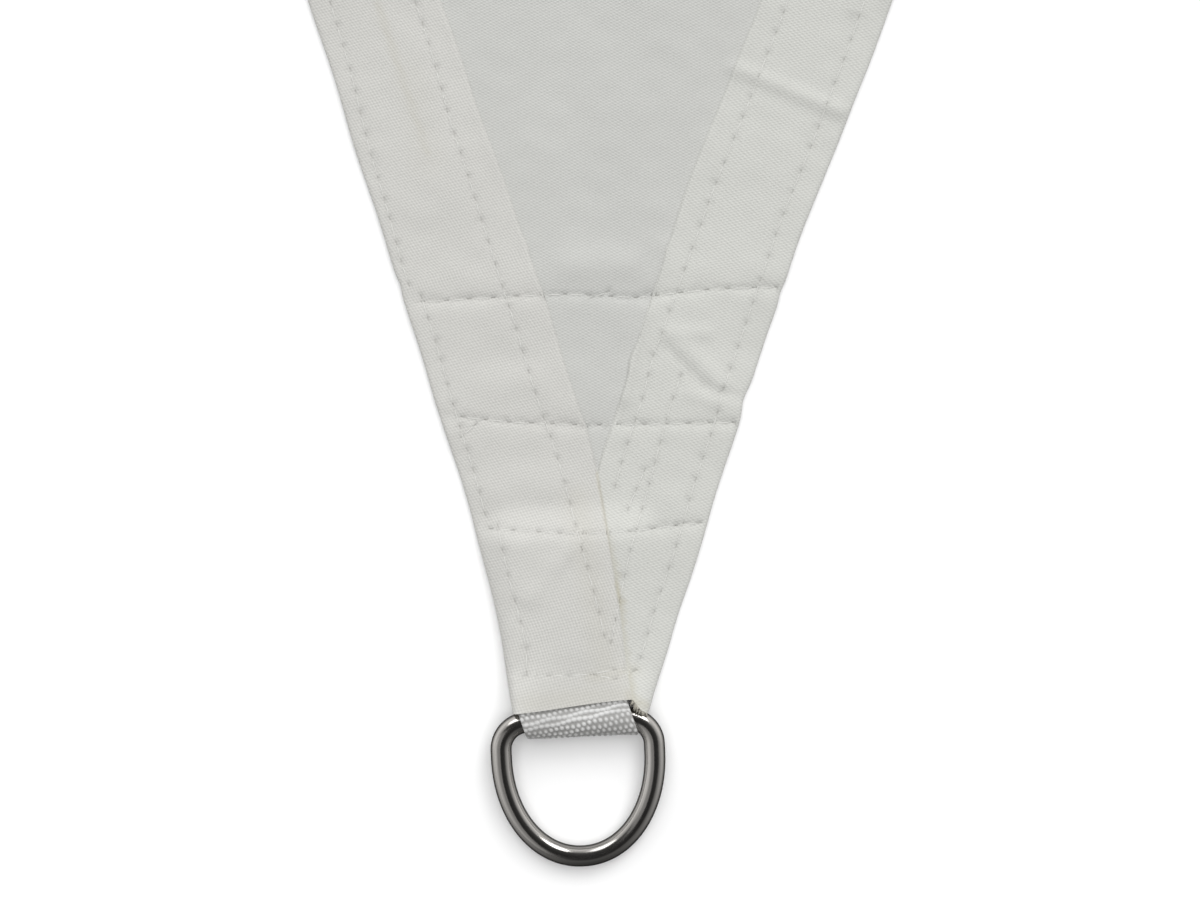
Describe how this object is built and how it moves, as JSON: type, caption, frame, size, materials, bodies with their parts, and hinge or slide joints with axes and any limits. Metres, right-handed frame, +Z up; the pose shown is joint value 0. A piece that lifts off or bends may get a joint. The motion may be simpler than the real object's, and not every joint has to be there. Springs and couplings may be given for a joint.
{
  "type": "shade sail",
  "caption": "Triangular woven shade sail with hollow hemmed edges and, at each corner, a steel D-ring held in a folded webbing loop, laid out flat.",
  "frame": {"origin": "middle of the sail's footprint, on the surface it lies on", "axes": "+Z up out of the sail's hemmed side; +X along the side between corners 2 and 3; corner 1 points along -Y"},
  "size_m": [3.6006, 3.1238, 0.0097],
  "materials": {
    "canvas": "matt off-white woven polyester, hems a little lighter than the panel",
    "webbing": "bright white woven polyester webbing",
    "ring_steel": "polished stainless steel wire"
  },
  "bodies": {
    "root": {"sail_cloth": "canvas", "corner_webbing_1": "webbing", "corner_webbing_2": "webbing", "corner_webbing_3": "webbing", "d_ring_1": "ring_steel", "d_ring_2": "ring_steel", "d_ring_3": "ring_steel"}
  },
  "joints": []
}
